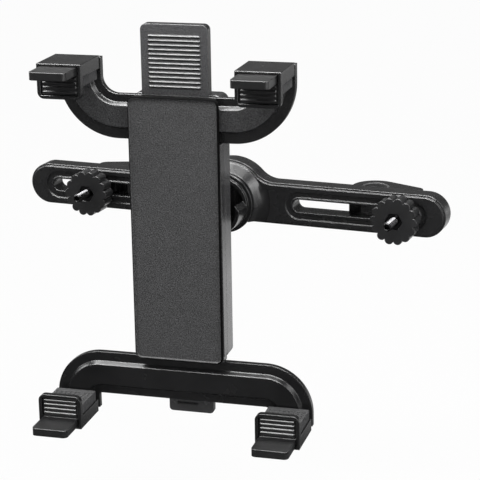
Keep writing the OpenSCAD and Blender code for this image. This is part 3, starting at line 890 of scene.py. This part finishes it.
@dataclass
class BarJoint:
    """Slotted bar, swivel head, hinge and neck.

    The flare starts on the boss's cone, slope degrees steep, just inside base_r, and runs out on the bar's
    face at spread past it. Where the bar's arch ends, between arch_from and arch_to degrees up, it stays
    in arch_r.
    """

    edge: float = 0.6 * MM
    base_r: float = 20.8 * MM
    slope: float = 51.34
    spread: float = 3.7 * MM
    root_y: float = 2.4 * MM
    sunk: float = 0.02 * MM
    arch_r: float = 21.0 * MM
    arch_from: float = 20.0
    arch_to: float = 32.0
    low_z: float = -10.2 * MM
    curve_steps: int = 10
    ring_steps: int = 144

    def flare(self) -> None:
        """Fills the corner between the boss's cone and the bar's face with a hollow curve, in a darker copy
        of the bar's satin that paints shade into the corner.
        """
        out_r = self.base_r + self.spread
        bend = self.spread / math.tan(math.radians(self.slope / 2))
        bm = bmesh.new()
        outer = bm.verts.new((out_r, self.sunk, 0.0))
        bmesh.ops.spin(
            bm, geom=[outer], cent=(out_r, self.sunk - bend, 0.0), axis=(0, 0, 1),
            angle=math.radians(self.slope), steps=self.curve_steps, use_duplicate=False,
        )
        inner = min(bm.verts, key=lambda v: v.co.y)
        back = bm.verts.new((self.base_r - self.spread / 2, self.root_y, 0.0))
        for end in (inner, outer):
            bm.edges.new((end, back))
        bmesh.ops.spin(
            bm, geom=bm.verts[:] + bm.edges[:], cent=(0, 0, 0), axis=(0, 1, 0), angle=2 * math.pi,
            steps=self.ring_steps, use_merge=True, use_duplicate=False,
        )
        self.narrow(bm, inner.co.x, out_r)
        whole = bm.verts[:] + bm.edges[:] + bm.faces[:]
        cut = bmesh.ops.bisect_plane(
            bm, geom=whole, plane_co=(0, 0, self.low_z), plane_no=(0, 0, -1), clear_outer=True
        )
        rims = [e for e in cut["geom_cut"] if isinstance(e, bmesh.types.BMEdge)]
        bmesh.ops.holes_fill(bm, edges=rims, sides=0)
        bmesh.ops.recalc_face_normals(bm, faces=bm.faces)
        bmesh.ops.transform(bm, matrix=BAR_PLACE, verts=bm.verts)
        # The flare's finish is the bar's satin made darker: painted shade round the boss
        add_piece("boss_flare", bm, "headrest_bar", [FLARE_SHADED], stands_for=False)

    def narrow(self, bm: bmesh.types.BMesh, from_r: float, out_r: float) -> None:
        """Draws the ring in where the bar's arch leaves no face for it.

        Args:
            bm: the ring's mesh work.
            from_r: radius where the ring starts.
            out_r: radius where it ends.
        """
        for vert in bm.verts:
            radius = math.hypot(vert.co.x, vert.co.z)
            lift = math.degrees(math.atan2(vert.co.z, abs(vert.co.x)))
            share = min(1.0, max(0.0, (lift - self.arch_from) / (self.arch_to - self.arch_from)))
            most = out_r + (self.arch_r - out_r) * share
            if radius > from_r:
                factor = (from_r + (radius - from_r) * (most - from_r) / (out_r - from_r)) / radius
                vert.co.x *= factor
                vert.co.z *= factor

    def build(self) -> None:
        """Builds the bar and what turns on it."""
        softened_piece("headrest_bar", self.edge, SATIN)
        self.flare()
        softened_piece("swivel_head", self.edge, YOKE)
        softened_piece("neck", self.edge, SATIN)
        for node in ("hinge_pin", "hub_washer", "hub_screw", "neck_screws"):
            dress_node(node, PLATE)


@dataclass
class Stud:
    """Threaded stud with a hexagon head, in the bar's own frame.

    The socket is sunk into the tip, the thread starts a lead behind it and bites into the root, and its crest
    lies at a share of the pitch.
    """

    along: float
    radius: float = 2.4 * MM
    root: float = 2.0 * MM
    pitch: float = 0.8 * MM
    tip_y: float = -25.0 * MM
    thread_end_y: float = -9.0 * MM
    head_y: float = 17.3 * MM
    head_r: float = 4.5 * MM
    head_h: float = 3.0 * MM
    edge: float = 0.3 * MM
    overlap: float = 0.2 * MM
    socket_wall: float = 0.75 * MM
    socket_depth: float = 2.5 * MM
    lead: float = 0.4 * MM
    bite: float = 0.1 * MM
    crest: float = 0.42
    steps: int = 28

    def shank(self, bm: bmesh.types.BMesh, radius: float, y0: float, y1: float, segments: int = 48) -> None:
        """Adds a round or hexagon bar along the stud's axis.

        Args:
            bm: the stud's mesh work.
            radius: radius of the bar, over the corners of a hexagon.
            y0: its front end.
            y1: its back end.
            segments: number of its sides.
        """
        place = Matrix.Translation((0, (y0 + y1) / 2, 0)) @ Matrix.Rotation(math.pi / 2, 4, "X")
        bmesh.ops.create_cone(
            bm, cap_ends=True, segments=segments, radius1=radius, radius2=radius, depth=y1 - y0, matrix=place
        )

    def socket(self, bm: bmesh.types.BMesh) -> None:
        """Sinks a round socket into the tip.

        Args:
            bm: the stud's mesh work, with the tip alone.
        """
        tip = min(bm.faces, key=lambda f: f.calc_center_median().y)
        bmesh.ops.inset_region(bm, faces=[tip], thickness=self.socket_wall)
        tip = min((f for f in bm.faces if len(f.verts) > 4), key=lambda f: f.calc_center_median().y)
        sunk = bmesh.ops.extrude_face_region(bm, geom=[tip])
        moved = [v for v in sunk["geom"] if isinstance(v, bmesh.types.BMVert)]
        bmesh.ops.translate(bm, vec=(0, self.socket_depth, 0), verts=moved)
        bmesh.ops.delete(bm, geom=[tip], context="FACES_ONLY")

    def thread(self, bm: bmesh.types.BMesh) -> None:
        """Winds a ridge round the tip with a spin that climbs.

        Args:
            bm: the stud's mesh work.
        """
        low, high = self.root - self.bite, self.radius
        start = self.tip_y + self.lead
        corners = ((low, 0.0), (high, self.crest * self.pitch), (low, 2 * self.crest * self.pitch))
        verts = [bm.verts.new((r, start + dy, 0.0)) for r, dy in corners]
        edges = [bm.edges.new((verts[i], verts[(i + 1) % 3])) for i in range(3)]
        turns = int((self.thread_end_y - start) / self.pitch)
        bmesh.ops.spin(
            bm, geom=verts + edges, cent=(0, 0, 0), axis=(0, 1, 0), dvec=(0, self.pitch / self.steps, 0),
            angle=2 * math.pi * turns, steps=turns * self.steps, use_duplicate=False,
        )
        bmesh.ops.holes_fill(bm, edges=[e for e in bm.edges if e.is_boundary], sides=3)

    def build(self, node: str) -> None:
        """Makes the stud and puts it in its clamp.

        Args:
            node: CAD node of the stud.
        """
        bm = bmesh.new()
        self.shank(bm, self.root, self.tip_y, self.thread_end_y)
        self.socket(bm)
        self.shank(bm, self.radius, self.thread_end_y - self.pitch, self.head_y + self.overlap)
        self.shank(bm, self.head_r, self.head_y, self.head_y + self.head_h, 6)
        soften(bm, self.edge, turn=50.0, segments=2)
        self.thread(bm)
        bmesh.ops.recalc_face_normals(bm, faces=bm.faces)
        bmesh.ops.transform(bm, matrix=BAR_PLACE @ Matrix.Translation((self.along, 0, 0)), verts=bm.verts)
        add_piece(f"{node}_threaded", bm, node, [PLATE], sharp=30.0)


@dataclass
class Clamps:
    """The two post clamps with their hooks, liners, studs, washers, knobs and nuts."""

    right: float = 97.6 * MM
    left: float = -80.0 * MM
    hook_edge: float = 0.5 * MM
    liner_edge: float = 0.2 * MM
    washer_edge: float = 0.35 * MM
    knob_edge: float = 0.6 * MM

    def build(self) -> None:
        """Builds both clamps."""
        for side, along in (("left", self.left), ("right", self.right)):
            softened_piece(f"hook_{side}", self.hook_edge, SATIN)
            softened_piece(f"liner_{side}", self.liner_edge, LINER)
            softened_piece(f"washer_{side}", self.washer_edge, YOKE)
            softened_piece(f"knob_{side}", self.knob_edge, KNOB)
            Stud(along).build(f"stud_{side}_bolt")
            dress_node(f"nut_{side}", PLATE)


def main() -> None:
    """Builds the studio and every sub-assembly in order."""
    logging.basicConfig(level=logging.INFO, format="%(name)s: %(message)s")
    Photographer().build()
    for part in (Spine(), ReturnSpring(), Yokes(), BarJoint(), Clamps()):
        part.build()
        log.info("%s done", type(part).__name__)


if __name__ == "__main__":
    main()
